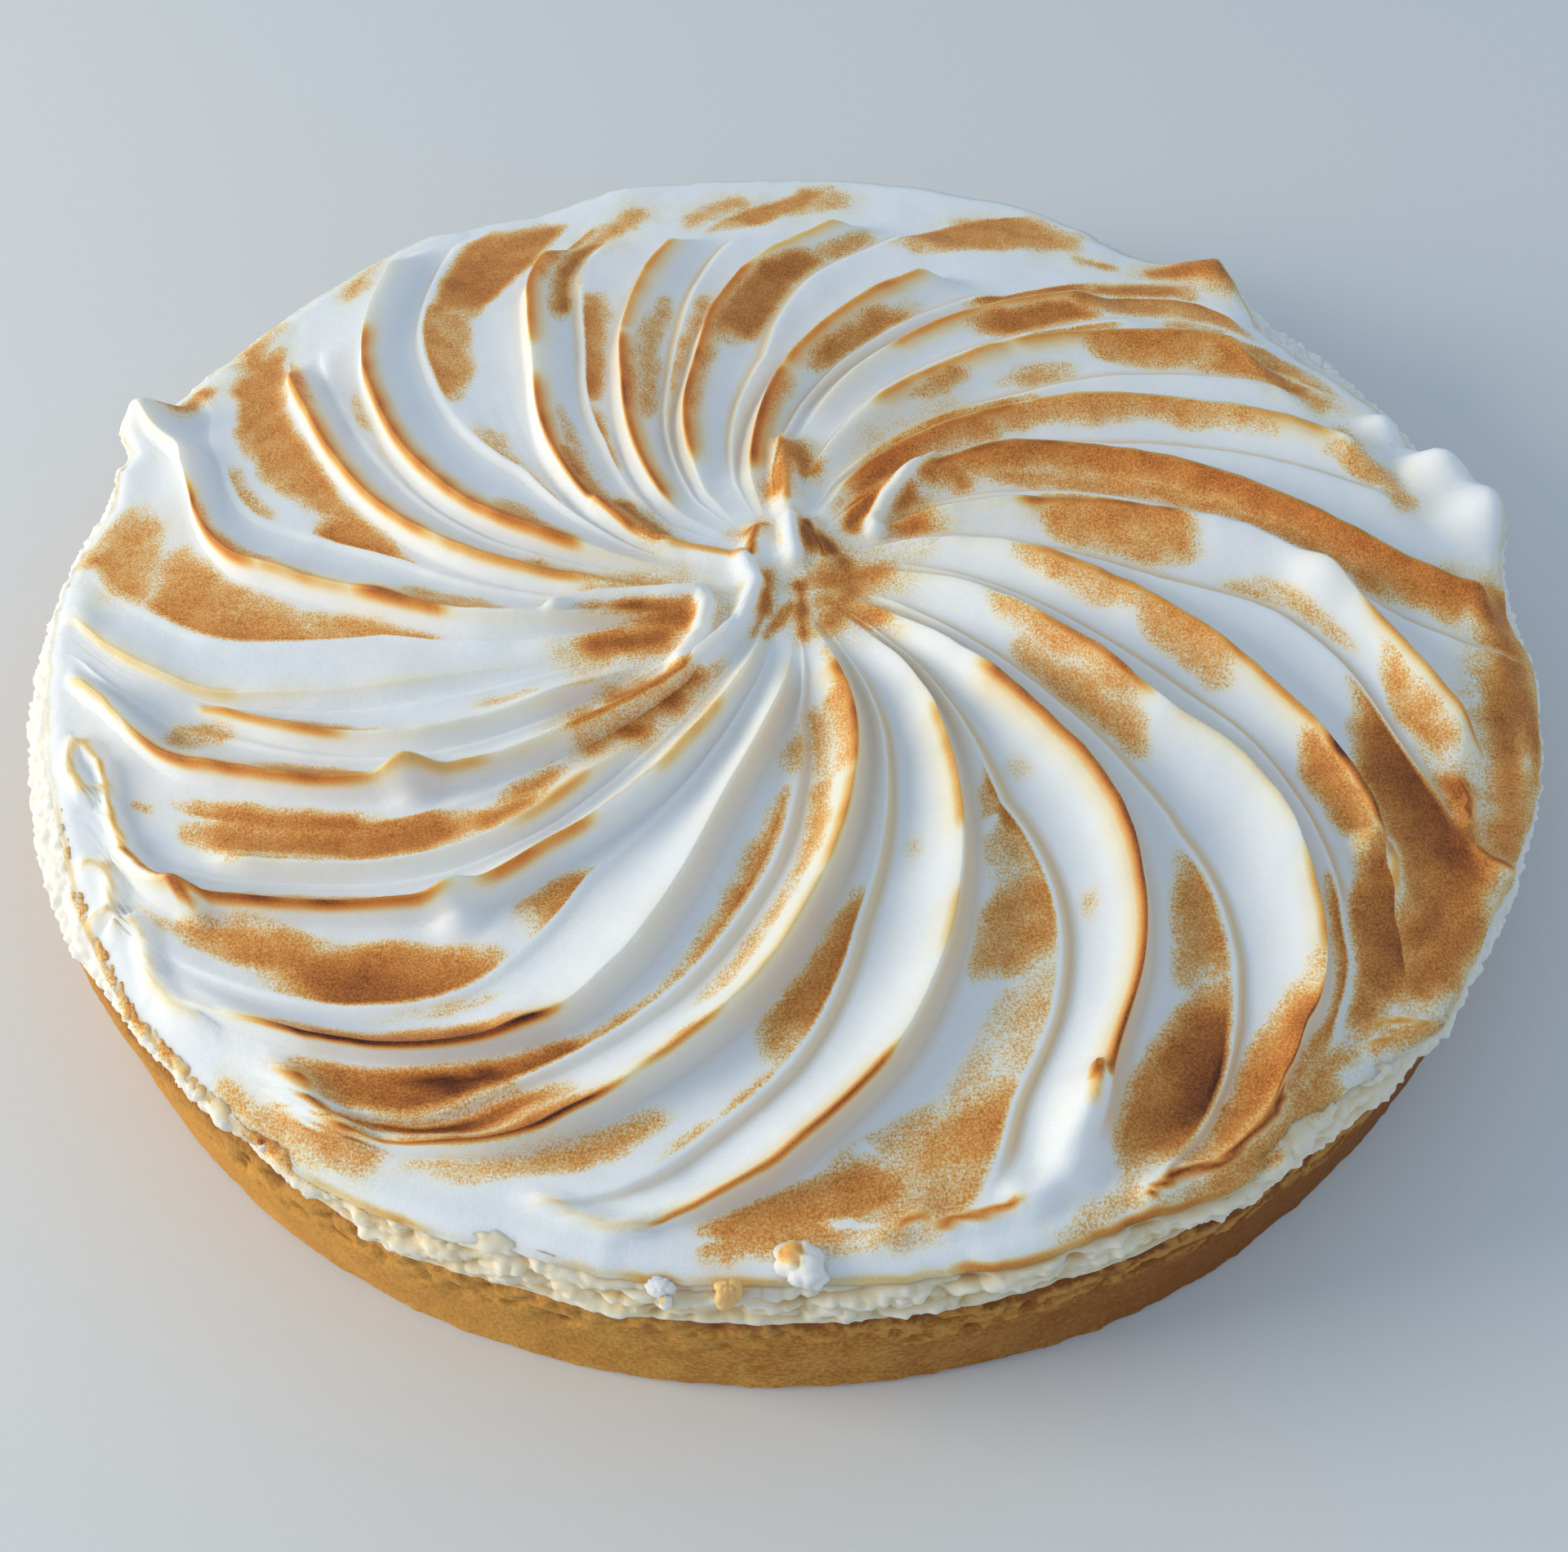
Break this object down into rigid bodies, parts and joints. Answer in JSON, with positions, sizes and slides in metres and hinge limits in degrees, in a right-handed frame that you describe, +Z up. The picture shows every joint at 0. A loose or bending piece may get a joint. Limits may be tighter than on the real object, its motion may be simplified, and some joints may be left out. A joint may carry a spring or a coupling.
{
  "type": "gooseberry meringue tart",
  "caption": "Round straight-sided pastry tart, uncut, topped to its edge with a swirl of meringue in curved knife strokes, torched brown on the crests.",
  "frame": {"origin": "middle of the tart's flat underside, on the table", "axes": "+Z up through the middle of the swirl, -Y towards the camera of the picture, +X to its right"},
  "size_m": [0.2403, 0.2404, 0.0413],
  "materials": {
    "baked_pastry": "baked shortcrust, dull and crumbly",
    "torched_meringue": "soft satin meringue with torched patches"
  },
  "bodies": {
    "root": {"pastry_case": "baked_pastry", "meringue": "torched_meringue"}
  },
  "joints": []
}
